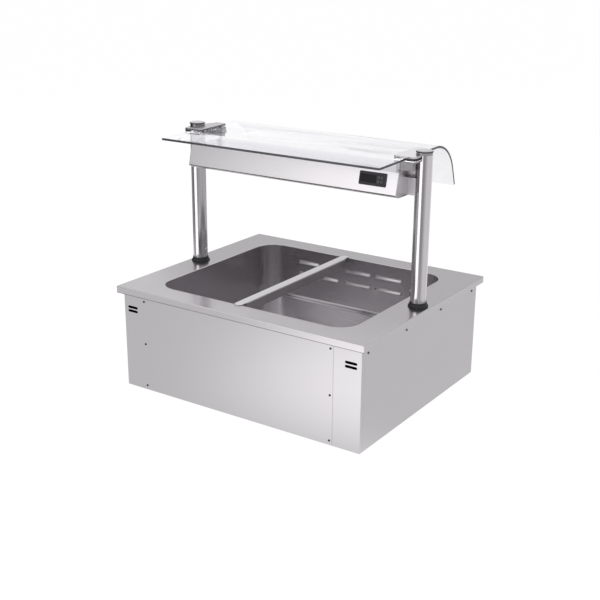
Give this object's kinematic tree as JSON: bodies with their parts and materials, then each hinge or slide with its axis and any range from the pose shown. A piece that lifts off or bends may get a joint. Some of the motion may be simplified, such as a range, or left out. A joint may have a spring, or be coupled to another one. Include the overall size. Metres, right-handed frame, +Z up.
{
  "type": "drop-in bain marie",
  "caption": "Stainless drop-in bain marie: deep round-cornered well with a support bar in a boxed deck unit, under a post-mounted glass screen with lamp housing",
  "frame": {"origin": "Middle of the casing's flat underside, under the middle of the deck", "axes": "+X runs to the right along the long face as the operator sees it, +Y from the operator's side with the service panel and controller to the customer's side, +Z up"},
  "size_m": [0.8, 0.67, 0.71],
  "materials": {
    "satin_steel": "satin, brushed",
    "well_steel": "satin, brushed",
    "polished_steel": "bright, finely brushed",
    "bright_screw": "bright",
    "zinc_steel": "dull, zinc plated",
    "element_steel": "matt, heat darkened",
    "cast_aluminium": "fine matt",
    "bright_aluminium": "bright, anodised",
    "black_rubber": "matt",
    "black_plastic": "fine grained",
    "grey_plastic": "matt",
    "key_plastic": "fine grained",
    "dark_window": "gloss, tinted",
    "clear_glass": "clear, polished edges",
    "quartz": "milky, heat resistant",
    "white_ceramic": "glazed ceramic",
    "mineral_wool": "fibrous, matt"
  },
  "bodies": {
    "base": {"deck": "satin_steel", "well_tank": "well_steel", "front_casing": "satin_steel", "service_panel": "satin_steel", "left_casing": "satin_steel", "right_casing": "satin_steel", "back_casing": "satin_steel", "base_tray": "well_steel", "service_panel_screws": "bright_screw", "side_screws": "bright_screw", "left_bearer": "zinc_steel", "right_bearer": "zinc_steel", "air_duct": "well_steel", "duct_baffle": "well_steel", "fan_motor": "zinc_steel", "air_heater": "element_steel", "floor_element": "element_steel", "insulation_slab": "mineral_wool", "drain_outlet": "bright_screw", "drain_strainer": "bright_screw", "element_clips": "zinc_steel", "terminal_box": "grey_plastic", "cable_gland": "black_plastic", "safety_thermostat": "black_plastic", "well_probe": "bright_screw", "left_post": "polished_steel", "right_post": "polished_steel", "left_foot_ring": "black_rubber", "right_foot_ring": "black_rubber", "foot_plugs": "zinc_steel", "post_bolts": "zinc_steel", "lock_screws": "bright_screw", "left_cap": "polished_steel", "right_cap": "polished_steel", "left_upper_clamp": "polished_steel", "right_upper_clamp": "polished_steel", "left_gasket": "black_rubber", "right_gasket": "black_rubber", "left_lower_clamp": "polished_steel", "right_lower_clamp": "polished_steel", "clamp_studs": "zinc_steel", "clamp_spacers": "bright_screw", "glass_screen": "clear_glass", "lamp_housing": "satin_steel", "left_end_cap": "satin_steel", "right_end_cap": "satin_steel", "hanger_blocks": "cast_aluminium", "reflector": "bright_aluminium", "heat_lamps": "quartz", "lamp_holders": "white_ceramic", "lamp_guard": "bright_screw", "housing_bulkhead": "zinc_steel", "controller_body": "black_plastic", "controller_window": "dark_window"},
    "support_bar": {"support_bar": "polished_steel"},
    "fan_wheel": {"fan_wheel": "black_plastic"},
    "key_1": {"key_1": "key_plastic"},
    "key_2": {"key_2": "key_plastic"},
    "key_3": {"key_3": "key_plastic"},
    "key_4": {"key_4": "key_plastic"}
  },
  "joints": [
    {"name": "support_bar_slide", "type": "slide", "parent": "base", "child": "support_bar", "axis": [1, 0, 0], "range_m": [-0.251, 0.305]},
    {"name": "fan_spin", "type": "hinge", "parent": "base", "child": "fan_wheel", "pos_m": [0, 0.2931, 0.091], "axis": [1, 0, 0], "continuous": true},
    {"name": "key_1_press", "type": "slide", "parent": "base", "child": "key_1", "axis": [0, 0.9742, -0.2255], "range_m": [0, 0.0006], "stiffness_N_per_m": 400},
    {"name": "key_2_press", "type": "slide", "parent": "base", "child": "key_2", "axis": [0, 0.9742, -0.2255], "range_m": [0, 0.0006], "stiffness_N_per_m": 400},
    {"name": "key_3_press", "type": "slide", "parent": "base", "child": "key_3", "axis": [0, 0.9742, -0.2255], "range_m": [0, 0.0006], "stiffness_N_per_m": 400},
    {"name": "key_4_press", "type": "slide", "parent": "base", "child": "key_4", "axis": [0, 0.9742, -0.2255], "range_m": [0, 0.0006], "stiffness_N_per_m": 400}
  ]
}
